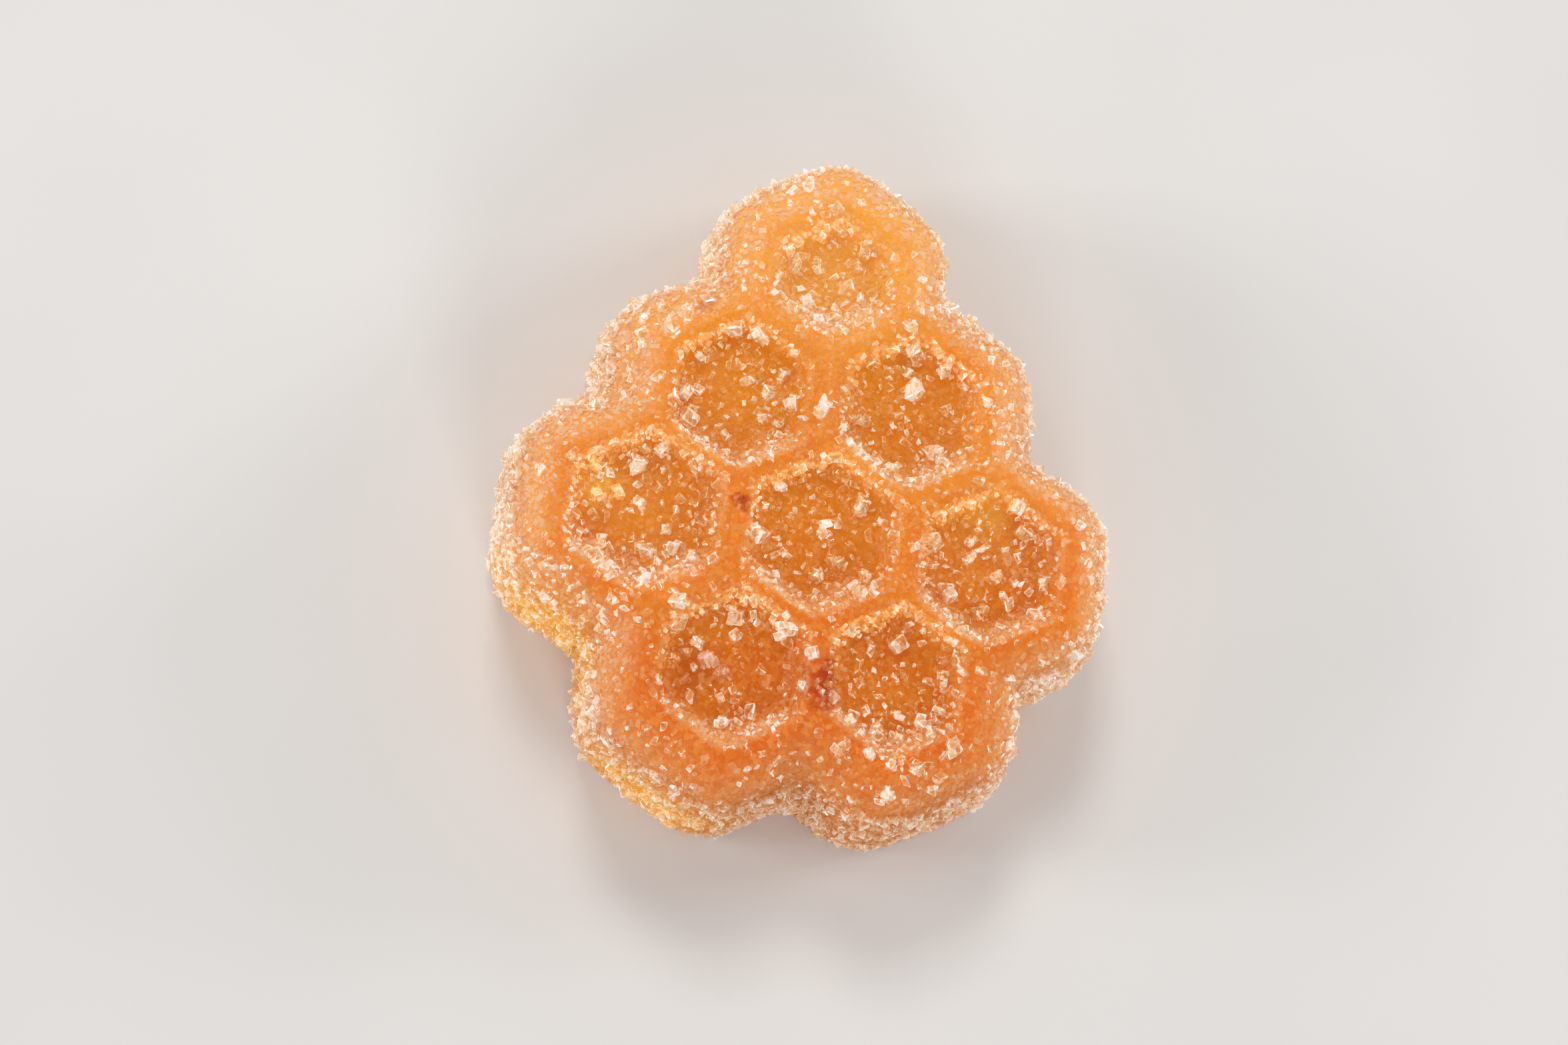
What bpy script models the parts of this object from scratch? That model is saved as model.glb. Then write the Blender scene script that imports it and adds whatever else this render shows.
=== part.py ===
"""Sugared jelly sweet: eight six-sided cells sunk into a thick lobed slab, with coarse sugar fused on.

The sweet lies on its flat back. +Z is its thickness, +Y points to the single cell at its narrow end,
and the origin is the middle of its footprint, on the surface that it lies on.
"""

import math
import random
from typing import NamedTuple

import bmesh
import bpy
from mathutils import Euler, Matrix, Vector
from mathutils.bvhtree import BVHTree

MM = 0.001
SIXTH = math.radians(60)


class Cell(NamedTuple):
    """Middle of a cell, half its opening across the flats in X and Y, and how far its lobe reaches out."""

    x: float
    y: float
    wide: float
    tall: float
    lobe: float


# The net of cells in millimetres, each with a corner towards +Y
CELLS = {
    "tip": Cell(0.95, 9.3, 2.5, 2.25, 1.05),
    "upper_left": Cell(-3.2, 4.0, 2.85, 2.95, 1.3),
    "upper_right": Cell(4.25, 3.3, 2.9, 3.0, 1.1),
    "left": Cell(-7.3, -1.1, 3.2, 3.1, 1.05),
    "middle": Cell(0.35, -2.1, 3.2, 3.1, 1.0),
    "right": Cell(7.7, -3.4, 3.05, 3.0, 0.95),
    "lower_left": Cell(-3.5, -7.9, 3.1, 3.0, 1.15),
    "lower_right": Cell(3.55, -8.4, 2.85, 2.85, 1.3),
}
NET_TURN = math.radians(-7)
SHARED_CORNER = 2.4 * MM
WEB_HALF = 0.6 * MM

# The upper face: a low crown, and steps in from each opening as (how far in, how deep)
TOP_HEIGHT = 9.8 * MM
CROWN_DROP = 1.2 * MM
CROWN_REACH = 14.0 * MM
CELL_STEPS = ((0.0, 0.25 * MM), (0.45 * MM, 1.05 * MM), (1.1 * MM, 1.3 * MM))
CORNER_PULL = 1.05

# The side below the net's rim, as (how far out from the rim, height)
SIDE_RINGS = (
    (0.75 * MM, 8.7 * MM),
    (1.4 * MM, 7.8 * MM),
    (1.7 * MM, 6.3 * MM),
    (1.8 * MM, 3.4 * MM),
    (1.9 * MM, 0.9 * MM),
    (1.8 * MM, 0.0),
)
LOBE_CORNER = 1.07
SUBDIVISIONS = 1

# Coarse sugar: how many grains lie loosely in each cell and round the side, where they clump on top as
# (X, Y, grains) in millimetres, and where they clump on the side as (degrees from +X, height, grains)
GRAIN_SEED = 8
GRAINS_PER_CELL = 11
GRAINS_ROUND_SIDE = 36
GRAIN_SIZE = (0.6 * MM, 1.15 * MM)
GRAIN_SUNK = 0.12
GRAIN_GAP = 0.4
CLUMP_SPREAD = 0.6
LOWEST_GRAIN = 1.1
TOP_CLUMPS = (
    (0.0, 7.7, 7),
    (-6.4, 7.1, 3),
    (-1.6, 2.8, 4),
    (-0.6, 3.4, 3),
    (-9.8, 0.5, 6),
    (-8.4, -3.6, 4),
    (-10.0, -2.3, 4),
    (-5.7, -2.3, 5),
    (2.1, -4.4, 4),
    (-5.9, -5.7, 4),
    (0.6, -8.5, 3),
    (2.5, -11.0, 6),
    (3.9, -11.7, 5),
    (5.8, -10.8, 3),
    (7.3, 4.3, 3),
    (4.1, 6.3, 4),
    (8.1, -3.3, 4),
)
SIDE_CLUMPS = (
    (143, 7.2, 6),
    (150, 6.4, 6),
    (159, 7.0, 6),
    (97, 7.2, 3),
    (178, 6.0, 4),
    (282, 1.8, 4),
)


def clear_scene():
    """Removes the objects that the scene starts with."""
    for item in list(bpy.data.objects):
        bpy.data.objects.remove(item)


def crown(x, y):
    """Height of the upper face before the cells are sunk into it."""
    return TOP_HEIGHT - CROWN_DROP * (x * x + y * y) / CROWN_REACH**2


def add_cells(bm):
    """Lays the hexagons of the net, and makes one corner of those that neighbours share."""
    for cell in CELLS.values():
        size = (cell.wide * MM + WEB_HALF) / math.cos(SIXTH / 2)
        place = Matrix.Translation((cell.x * MM, cell.y * MM, 0)) @ Matrix.Rotation(NET_TURN, 4, "Z")
        place = place @ Matrix.Diagonal((1, cell.tall / cell.wide, 1, 1))
        bmesh.ops.create_circle(bm, cap_ends=True, segments=6, radius=size, matrix=place)
    groups = []
    for vertex in bm.verts:
        near = [g for g in groups if (g[0].co - vertex.co).length < SHARED_CORNER]
        if near:
            near[0].append(vertex)
        else:
            groups.append([vertex])
    for group in groups:
        middle = sum((v.co for v in group), Vector()) / len(group)
        for vertex in group:
            vertex.co = middle
    bmesh.ops.remove_doubles(bm, verts=bm.verts, dist=0.01 * MM)
    bmesh.ops.subdivide_edges(bm, edges=bm.edges, cuts=1)
    for vertex in bm.verts:
        vertex.co.z = crown(vertex.co.x, vertex.co.y)


def sink_cells(bm):
    """Steps in from the net to the opening of every cell, and down to its floor."""
    floors = list(bm.faces)
    bmesh.ops.recalc_face_normals(bm, faces=floors)
    if floors[0].normal.z < 0:
        bmesh.ops.reverse_faces(bm, faces=floors)
    for face, cell in zip(floors, CELLS.values()):
        for inward, depth in CELL_STEPS:
            bmesh.ops.inset_individual(bm, faces=[face], thickness=0.1 * MM)
            for vertex in face.verts:
                away = math.atan2(vertex.co.y - cell.y * MM, vertex.co.x - cell.x * MM)
                step = round((away - NET_TURN) / (SIXTH / 2))
                way = NET_TURN + step * SIXTH / 2
                stretch = CORNER_PULL / math.cos(SIXTH / 2) if step % 2 else 1.0
                x = cell.x * MM + (cell.wide * MM - inward) * stretch * math.cos(way)
                y = cell.y * MM + (cell.tall * MM - inward) * stretch * math.sin(way)
                vertex.co = (x, y, crown(x, y) - depth)


def outward(vertex):
    """Plan offset of a rim corner that moves both of its rim edges out, a lobe's corner a little more."""
    sides = []
    bend = Vector()
    for edge in vertex.link_edges:
        if edge.is_boundary:
            along = edge.other_vert(vertex).co - vertex.co
            side = Vector((along.y, -along.x, 0)).normalized()
            inner = edge.link_faces[0].calc_center_median() - vertex.co
            sides.append(-side if side.dot(inner) > 0 else side)
            bend += along
    middle = (sides[0] + sides[1]).normalized()
    reach = LOBE_CORNER if middle.dot(bend) < -WEB_HALF else 1.0
    return middle * reach / middle.dot(sides[0])


def lobe_reach(point):
    """Reach of the lobe round the cell nearest to a rim corner."""
    return min(CELLS.values(), key=lambda c: math.hypot(c.x * MM - point.x, c.y * MM - point.y)).lobe


def hang_side(bm):
    """Draws the side down from the rim, ring by ring, and closes the flat base."""
    crease = bm.edges.layers.float.new("crease_edge")
    rim = [e for e in bm.edges if e.is_boundary]
    corners = {v: (v.co.copy(), outward(v) * lobe_reach(v.co)) for e in rim for v in e.verts}
    for out, height in SIDE_RINGS:
        made = bmesh.ops.extrude_edge_only(bm, edges=rim)["geom"]
        moved = {}
        for vertex in (v for v in made if isinstance(v, bmesh.types.BMVert)):
            above = next(v for e in vertex.link_edges for v in e.verts if v in corners)
            start, way = corners[above]
            vertex.co = (start.x + way.x * out, start.y + way.y * out, height)
            moved[vertex] = corners[above]
        rim = [e for e in made if isinstance(e, bmesh.types.BMEdge)]
        corners = moved
    bmesh.ops.contextual_create(bm, geom=rim)
    for edge in rim:
        edge[crease] = 1.0
    bmesh.ops.recalc_face_normals(bm, faces=bm.faces)


def jelly_body():
    """The slab itself, as one closed mesh from a coarse cage."""
    bm = bmesh.new()
    add_cells(bm)
    sink_cells(bm)
    hang_side(bm)
    mesh = bpy.data.meshes.new("sweet")
    bm.to_mesh(mesh)
    bm.free()
    body = bpy.data.objects.new("sweet", mesh)
    smooth = body.modifiers.new("rounded", "SUBSURF")
    smooth.levels = SUBDIVISIONS
    smooth.render_levels = SUBDIVISIONS
    return body


def grain_rays(rng):
    """Where each coarse grain is dropped from and which way it falls."""
    rays = []
    down = Vector((0, 0, -1))
    for cell in CELLS.values():
        for _ in range(GRAINS_PER_CELL):
            way = rng.uniform(0, math.tau)
            far = math.sqrt(rng.random())
            x = cell.x + cell.wide * far * math.cos(way)
            y = cell.y + cell.tall * far * math.sin(way)
            rays.append((Vector((x * MM, y * MM, 2 * TOP_HEIGHT)), down))
    for x, y, count in TOP_CLUMPS:
        for _ in range(count):
            spot = (rng.gauss(x, CLUMP_SPREAD) * MM, rng.gauss(y, CLUMP_SPREAD) * MM, 2 * TOP_HEIGHT)
            rays.append((Vector(spot), down))
    around = [(rng.uniform(0, 360), rng.uniform(LOWEST_GRAIN, 8.0)) for _ in range(GRAINS_ROUND_SIDE)]
    for turn, height, count in SIDE_CLUMPS:
        for _ in range(count):
            around.append((rng.gauss(turn, 3), max(rng.gauss(height, CLUMP_SPREAD), LOWEST_GRAIN)))
    for turn, height in around:
        out = Vector((math.cos(math.radians(turn)), math.sin(math.radians(turn)), 0))
        rays.append((out * 2 * CROWN_REACH + Vector((0, 0, height * MM)), -out))
    return rays


def grain_objects(body):
    """Irregular blocks of sugar, each sunk a little way into the jelly where it lands."""
    rng = random.Random(GRAIN_SEED)
    ground = BVHTree.FromObject(body, bpy.context.evaluated_depsgraph_get())
    grains = []
    taken = []
    for start, way in grain_rays(rng):
        size = rng.uniform(*GRAIN_SIZE)
        shape = Matrix.Diagonal((size, size * rng.uniform(0.7, 1.0), size * rng.uniform(0.5, 0.9), 1))
        turn = Euler([rng.uniform(0, math.tau) for _ in range(3)]).to_matrix().to_4x4()
        dents = [rng.uniform(0.82, 1.0) for _ in range(8)]
        spot, normal, _, _ = ground.ray_cast(start, way)
        if any((spot - other).length < GRAIN_GAP * (size + wide) for other, wide in taken):
            continue
        taken.append((spot, size))
        place = Matrix.Translation(spot + normal * GRAIN_SUNK * size)
        bm = bmesh.new()
        bmesh.ops.create_cube(bm, size=1)
        for vertex, dent in zip(bm.verts, dents):
            vertex.co *= dent
        bmesh.ops.transform(bm, matrix=place @ turn @ shape, verts=bm.verts)
        mesh = bpy.data.meshes.new("grain")
        bm.to_mesh(mesh)
        bm.free()
        grains.append(bpy.data.objects.new("grain", mesh))
    return grains


def fuse(body, grains):
    """Joins all the grains to the jelly as one closed mesh."""
    sugar = bpy.data.collections.new("grains")
    bpy.context.scene.collection.children.link(sugar)
    for grain in grains:
        sugar.objects.link(grain)
    union = body.modifiers.new("sugar", "BOOLEAN")
    union.operation = "UNION"
    union.operand_type = "COLLECTION"
    union.collection = sugar
    bpy.context.view_layer.objects.active = body
    for modifier in list(body.modifiers):
        bpy.ops.object.modifier_apply(modifier=modifier.name)
    for grain in grains:
        bpy.data.objects.remove(grain)
    bpy.data.collections.remove(sugar)


def keep_outer_skin(body):
    """Drops the walls of hollows sealed in between grains, and any grain that doesn't touch the jelly."""
    bm = bmesh.new()
    bm.from_mesh(body.data)
    left = dict.fromkeys(bm.verts)
    islands = []
    while left:
        island = [left.popitem()[0]]
        for vertex in island:
            for edge in vertex.link_edges:
                other = edge.other_vert(vertex)
                if other in left:
                    del left[other]
                    island.append(other)
        islands.append(island)
    islands.sort(key=len)
    for island in islands[:-1]:
        bmesh.ops.delete(bm, geom=island, context="VERTS")
    bm.to_mesh(body.data)
    bm.free()


def centre(body):
    """Moves the middle of the footprint to the origin."""
    spots = [v.co for v in body.data.vertices]
    x, y = ((min(s[i] for s in spots) + max(s[i] for s in spots)) / 2 for i in (0, 1))
    body.data.transform(Matrix.Translation((-x, -y, 0)))


def jelly_material():
    """Plain orange jelly."""
    material = bpy.data.materials.new("orange_jelly")
    material.use_nodes = True
    shader = material.node_tree.nodes["Principled BSDF"]
    shader.inputs["Base Color"].default_value = (0.78, 0.31, 0.08, 1)
    shader.inputs["Roughness"].default_value = 0.4
    return material


def main():
    """Builds the sweet."""
    clear_scene()
    collection = bpy.data.collections.new("sugared_sweet")
    bpy.context.scene.collection.children.link(collection)
    body = jelly_body()
    collection.objects.link(body)
    fuse(body, grain_objects(body))
    keep_outer_skin(body)
    centre(body)
    body.data.materials.append(jelly_material())


main()
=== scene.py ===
"""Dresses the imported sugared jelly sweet.

The sweet is orange jelly with eight sunken six-sided cells, coated with sugar crystals of three sizes.
"""

import logging
import math
import random
from dataclasses import dataclass
from enum import Enum
from itertools import product

import bmesh
import bpy
import numpy as np
from mathutils import Euler, Matrix, Vector
from mathutils.bvhtree import BVHTree


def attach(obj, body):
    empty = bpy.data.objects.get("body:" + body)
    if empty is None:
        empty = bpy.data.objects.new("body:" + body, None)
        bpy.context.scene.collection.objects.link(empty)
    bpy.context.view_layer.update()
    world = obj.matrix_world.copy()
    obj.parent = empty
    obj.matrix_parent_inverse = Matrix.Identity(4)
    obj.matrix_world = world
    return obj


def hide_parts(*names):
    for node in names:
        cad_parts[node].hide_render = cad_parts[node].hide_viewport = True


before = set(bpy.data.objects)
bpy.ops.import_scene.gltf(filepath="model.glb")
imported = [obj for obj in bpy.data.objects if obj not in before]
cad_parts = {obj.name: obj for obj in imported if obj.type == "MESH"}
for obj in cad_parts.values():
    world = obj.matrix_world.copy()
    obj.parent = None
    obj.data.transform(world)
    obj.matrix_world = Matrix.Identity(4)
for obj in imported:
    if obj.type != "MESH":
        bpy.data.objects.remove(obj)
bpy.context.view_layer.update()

LOG = logging.getLogger("sugared_sweet")
MM = 0.001
SIXTH = math.radians(60)
NET_TURN = math.radians(-7)
Socket = bpy.types.NodeSocket


@dataclass(frozen=True)
class Cell:
    """One six-sided cell, in millimetres."""

    x: float
    y: float
    wide: float
    tall: float
    lobe: float

    def middle(self) -> Vector:
        """Middle of the cell in plan."""
        return Vector((self.x * MM, self.y * MM, 0))

    def share_out(self, places: np.ndarray) -> np.ndarray:
        """How far out each place lies in this cell, from 0 in its middle to 1 at its six-sided opening."""
        off = (places[:, :2] / MM - (self.x, self.y)) / (self.wide, self.tall)
        ways = NET_TURN + SIXTH * np.arange(6)
        return np.max(off @ np.array([np.cos(ways), np.sin(ways)]), axis=1)


CELLS = (
    Cell(0.95, 9.3, 2.5, 2.25, 1.05),
    Cell(-3.2, 4.0, 2.85, 2.95, 1.3),
    Cell(4.25, 3.3, 2.9, 3.0, 1.1),
    Cell(-7.3, -1.1, 3.2, 3.1, 1.05),
    Cell(0.35, -2.1, 3.2, 3.1, 1.0),
    Cell(7.7, -3.4, 3.05, 3.0, 0.95),
    Cell(-3.5, -7.9, 3.1, 3.0, 1.15),
    Cell(3.55, -8.4, 2.85, 2.85, 1.3),
)


def nothing_selected() -> None:
    """Deselects every object."""
    for item in bpy.context.selected_objects:
        item.select_set(False)


def only(item: bpy.types.Object) -> None:
    """Selects one object and makes it the active one.

    Args:
        item: The object that the next operators work on.
    """
    nothing_selected()
    item.select_set(True)
    bpy.context.view_layer.objects.active = item


class ShapeEditor:
    """Edit mode on one object, as a context."""

    def __init__(self, item: bpy.types.Object, mode: str = "VERT") -> None:
        """Remembers the object and the kind of element that is selected."""
        self.item = item
        self.mode = mode

    def __enter__(self) -> "ShapeEditor":
        """Enters edit mode with nothing selected."""
        only(self.item)
        bpy.ops.object.mode_set(mode="EDIT")
        bpy.ops.mesh.select_mode(type=self.mode)
        bpy.ops.mesh.select_all(action="DESELECT")
        return self

    def __exit__(self, *_: object) -> None:
        """Writes the mesh back."""
        bmesh.update_edit_mesh(self.item.data)
        bpy.ops.object.mode_set(mode="OBJECT")

    def mesh(self) -> bmesh.types.BMesh:
        """The mesh being edited."""
        return bmesh.from_edit_mesh(self.item.data)


@dataclass
class JellySlab:
    """The jelly under the sugar: a lobed slab with sunken cells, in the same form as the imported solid."""

    net_turn: float = NET_TURN
    shared_corner: float = 2.4 * MM
    web_half: float = 0.6 * MM
    top_height: float = 9.8 * MM
    crown_drop: float = 1.2 * MM
    crown_reach: float = 14.0 * MM
    cell_steps: tuple = ((0.0, 0.25 * MM), (0.45 * MM, 1.05 * MM), (1.1 * MM, 1.3 * MM))
    corner_pull: float = 1.05
    side_rings: tuple = (
        (0.75 * MM, 8.7 * MM),
        (1.4 * MM, 7.8 * MM),
        (1.7 * MM, 6.3 * MM),
        (1.8 * MM, 3.4 * MM),
        (1.9 * MM, 0.9 * MM),
        (1.8 * MM, 0.0),
    )
    lobe_corner: float = 1.07
    footprint_shift: tuple = (-0.0874 * MM, 0.1365 * MM)
    levels: int = 3
    solid_levels: int = 1
    lump_size: float = 1.6 * MM
    lump_height: float = 0.16 * MM
    base_lift: float = 0.12 * MM
    weld_distance: float = 0.01 * MM
    first_inset: float = 0.1 * MM
    base_crease: float = 1.0

    def crown(self, x: float, y: float) -> float:
        """Height of the upper face before the cells are sunk into it."""
        return self.top_height - self.crown_drop * (x * x + y * y) / self.crown_reach**2

    def lay_net(self) -> bpy.types.Object:
        """Lays the eight hexagons and welds the corners that neighbours share.

        Returns:
            The flat net, with every edge cut in two.
        """
        nothing_selected()
        parts = []
        for cell in CELLS:
            bpy.ops.mesh.primitive_circle_add(
                vertices=6,
                radius=(cell.wide * MM + self.web_half) / math.cos(SIXTH / 2),
                fill_type="NGON",
                location=cell.middle(),
                rotation=(0, 0, self.net_turn),
                scale=(1, cell.tall / cell.wide, 1),
            )
            parts.append(bpy.context.object)
        for part in parts:
            part.select_set(True)
        bpy.ops.object.join()
        bpy.ops.object.transform_apply(location=True, rotation=True, scale=True)
        net = bpy.context.object
        net.name = net.data.name = "jelly"
        with ShapeEditor(net) as editor:
            self.meet_corners(editor.mesh())
            bpy.ops.mesh.select_all(action="SELECT")
            bpy.ops.mesh.remove_doubles(threshold=self.weld_distance)
            bpy.ops.mesh.subdivide(number_cuts=1)
            for vertex in editor.mesh().verts:
                vertex.co.z = self.crown(vertex.co.x, vertex.co.y)
        return net

    def meet_corners(self, bm: bmesh.types.BMesh) -> None:
        """Moves the corners that neighbouring cells share to their common middle."""
        groups = []
        for vertex in bm.verts:
            near = [g for g in groups if (g[0].co - vertex.co).length < self.shared_corner]
            if near:
                near[0].append(vertex)
            else:
                groups.append([vertex])
        for group in groups:
            middle = sum((v.co for v in group), Vector()) / len(group)
            for vertex in group:
                vertex.co = middle

    def sink_cells(self, net: bpy.types.Object) -> None:
        """Steps in from the net to each opening and down to each floor."""
        for cell in CELLS:
            with ShapeEditor(net, "FACE") as editor:
                floor = min(
                    editor.mesh().faces,
                    key=lambda f: (f.calc_center_median().xy - cell.middle().xy).length,
                )
                floor.select_set(True)
                for inward, depth in self.cell_steps:
                    bpy.ops.mesh.inset(thickness=self.first_inset, use_individual=True)
                    floor = next(f for f in editor.mesh().faces if f.select)
                    self.shape_step(floor, cell, inward, depth)

    def shape_step(self, floor: bmesh.types.BMFace, cell: Cell, inward: float, depth: float) -> None:
        """Puts the corners and mid-sides of one step of a cell in their places.

        Args:
            floor: The face inside the step.
            cell: The cell that it belongs to.
            inward: How far inside the opening the step lies.
            depth: How far below the crown it lies.
        """
        for vertex in floor.verts:
            away = vertex.co - cell.middle()
            step = round((math.atan2(away.y, away.x) - self.net_turn) / (SIXTH / 2))
            way = self.net_turn + step * SIXTH / 2
            stretch = self.corner_pull / math.cos(SIXTH / 2) if step % 2 else 1.0
            x = cell.x * MM + (cell.wide * MM - inward) * stretch * math.cos(way)
            y = cell.y * MM + (cell.tall * MM - inward) * stretch * math.sin(way)
            vertex.co = (x, y, self.crown(x, y) - depth)

    def outward(self, vertex: bmesh.types.BMVert) -> Vector:
        """Plan offset of a rim corner that moves both of its rim edges out, a lobe's corner a little more.

        Args:
            vertex: The corner, on the net's boundary.

        Returns:
            The offset for one unit of reach.
        """
        sides = []
        bend = Vector()
        for edge in vertex.link_edges:
            if edge.is_boundary:
                along = edge.other_vert(vertex).co - vertex.co
                side = Vector((along.y, -along.x, 0)).normalized()
                inner = edge.link_faces[0].calc_center_median() - vertex.co
                sides.append(-side if side.dot(inner) > 0 else side)
                bend += along
        middle = (sides[0] + sides[1]).normalized()
        reach = self.lobe_corner if middle.dot(bend) < -self.web_half else 1.0
        lobe = min(CELLS, key=lambda c: (c.middle().xy - vertex.co.xy).length).lobe
        return middle * reach * lobe / middle.dot(sides[0])

    def hang_side(self, net: bpy.types.Object) -> None:
        """Draws the side down from the rim, ring by ring, and closes the flat base."""
        with ShapeEditor(net, "EDGE") as editor:
            bm = editor.mesh()
            start = bm.verts.layers.float_vector.new("start")
            way = bm.verts.layers.float_vector.new("way")
            for edge in bm.edges:
                edge.select_set(edge.is_boundary)
            for vertex in bm.verts:
                if vertex.select:
                    vertex[start] = vertex.co
                    vertex[way] = self.outward(vertex)
            for out, height in self.side_rings:
                bpy.ops.mesh.extrude_edges_move()
                for vertex in (v for v in bm.verts if v.select):
                    vertex.co = vertex[start] + vertex[way] * out
                    vertex.co.z = height
            bpy.ops.mesh.edge_face_add()
            bpy.ops.mesh.select_all(action="SELECT")
            bpy.ops.mesh.normals_make_consistent(inside=False)
        for name in ("start", "way"):
            net.data.attributes.remove(net.data.attributes[name])

    def put_in_order(self, net: bpy.types.Object) -> None:
        """Lays the cage anew with its faces in a fixed order, and creases the base's edge.

        Extruding leaves the order of faces to chance, and the grains that are scattered later follow it.

        Args:
            net: The closed cage.
        """
        spots = [vertex.co.copy() for vertex in net.data.vertices]
        faces = []
        for face in net.data.polygons:
            corners = list(face.vertices)
            first = corners.index(min(corners))
            faces.append(corners[first:] + corners[:first])
        net.data.clear_geometry()
        net.data.from_pydata(spots, [], sorted(faces))
        with ShapeEditor(net, "EDGE") as editor:
            for edge in editor.mesh().edges:
                edge.select_set(all(vertex.co.z == 0 for vertex in edge.verts))
            bpy.ops.transform.edge_crease(value=self.base_crease)

    def round_off(self, net: bpy.types.Object) -> BVHTree:
        """Rounds the cage, gives the jelly its shallow lumps, and puts it in the middle of its footprint.

        Returns:
            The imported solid's own surface, which the coarse grains are dropped on.
        """
        only(net)
        rounded = net.modifiers.new("rounded", "SUBSURF")
        rounded.levels = rounded.render_levels = self.solid_levels
        ground = BVHTree.FromObject(net, bpy.context.evaluated_depsgraph_get())
        rounded.levels = rounded.render_levels = self.levels
        lumps = bpy.data.textures.new("lumps", "CLOUDS")
        lumps.noise_scale = self.lump_size
        wavy = net.modifiers.new("lumps", "DISPLACE")
        wavy.texture = lumps
        wavy.strength = self.lump_height
        wavy.mid_level = 0.5
        bpy.ops.object.modifier_apply(modifier=rounded.name)
        bpy.ops.object.modifier_apply(modifier=wavy.name)
        net.data.transform(Matrix.Translation((*self.footprint_shift, 0)))
        for vertex in net.data.vertices:
            vertex.co.z = max(vertex.co.z, self.base_lift)
        bpy.ops.object.shade_smooth()
        bpy.data.textures.remove(lumps)
        return ground

    def build(self) -> tuple[bpy.types.Object, BVHTree]:
        """Models the jelly.

        Returns:
            The jelly, and the surface that the coarse grains are dropped on.
        """
        net = self.lay_net()
        self.sink_cells(net)
        self.hang_side(net)
        self.put_in_order(net)
        return net, self.round_off(net)


class Zone(Enum):
    """Which part of the jelly a kind of sugar lies on."""

    TOP = "top"
    SIDE = "side"
    BASE = "base"


@dataclass(frozen=True)
class SugarKind:
    """One size of sugar crystal and where it lies.

    Sizes are in millimetres. The chamfer is a share of the crystal's width, and a kind without one is
    fine sugar. The lift, the gap and what is broken off its corners are shares of its size, and the tilt
    is how far it leans. The more it is clumped, the more the grains gather, and the higher rare is, the
    fewer large ones there are. The last three weigh its chance of lying in the cells, on their rims and
    on their lower walls.
    """

    name: str
    zones: tuple
    count: int
    least: float
    most: float
    lift: float
    tilt: float
    gap: float
    broken: float
    seed: int
    clumped: float
    rare: float
    chamfer: float = 0.0
    in_cells: float = 1.0
    on_rims: float = 0.0
    on_walls: float = 0.0


SUGAR = (
    SugarKind(
        "sugar_medium", (Zone.TOP, Zone.SIDE), count=4200, least=0.24, most=0.66, rare=2.2, chamfer=0.12,
        lift=0.3, tilt=0.5, gap=0.42, broken=0.6, clumped=0.9,
        in_cells=5.5, on_rims=8.0, on_walls=0.6, seed=21,
    ),
    SugarKind(
        "sugar_medium_side", (Zone.SIDE,), count=2600, least=0.3, most=0.6, rare=1.8, chamfer=0.12,
        lift=0.35, tilt=0.6, gap=0.4, broken=0.45, clumped=0.5, seed=25,
    ),
    SugarKind(
        "sugar_fine_top", (Zone.TOP,), count=16500, least=0.16, most=0.36, rare=1.6,
        lift=0.12, tilt=0.4, gap=0.34, broken=0.4, clumped=0.3, on_rims=0.8, on_walls=1.5, seed=22,
    ),
    SugarKind(
        "sugar_fine_side", (Zone.SIDE,), count=16500, least=0.2, most=0.4, rare=1.5,
        lift=0.2, tilt=0.5, gap=0.36, broken=0.35, clumped=0.2, seed=23,
    ),
    SugarKind(
        "sugar_fine_base", (Zone.BASE,), count=8500, least=0.22, most=0.38, rare=1.5,
        lift=0.1, tilt=0.3, gap=0.36, broken=0.35, clumped=0.2, seed=24,
    ),
)


@dataclass(frozen=True)
class Mark:
    """A dark flaw or a painted golden glow of light coming through, which the coating and the jelly both
    show, in millimetres.
    """

    spot: tuple
    radius: float
    strength: float


DARK_MARKS = (
    Mark((0.5, -8.3, 9.0), 1.1, 0.9),
    Mark((0.3, -9.2, 9.0), 0.8, 0.8),
    Mark((-3.2, -0.7, 9.5), 0.55, 0.9),
    # This mark darkens a broad brownish patch over the lower left cell.
    Mark((-5.0, -7.9, 8.0), 1.6, 0.4),
    Mark((-4.7, 8.1, 9.0), 0.6, 0.4),
)
# Painted glows: golden light coming through the thin side, in two cells and at the narrow end.
SIDE_GLOWS = (
    Mark((-11.0, -5.0, 3.5), 4.2, 1.0),
    Mark((-6.5, -12.2, 3.0), 3.4, 0.9),
)
CELL_GLOWS = (
    Mark((-9.3, 0.2, 8.0), 1.3, 0.8),
    Mark((7.6, -0.7, 8.2), 1.4, 0.6),
)
END_GLOW = Mark((1.6, 10.4, 8.0), 5.5, 0.45)
GLOWS = (*SIDE_GLOWS, *CELL_GLOWS, END_GLOW)


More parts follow.
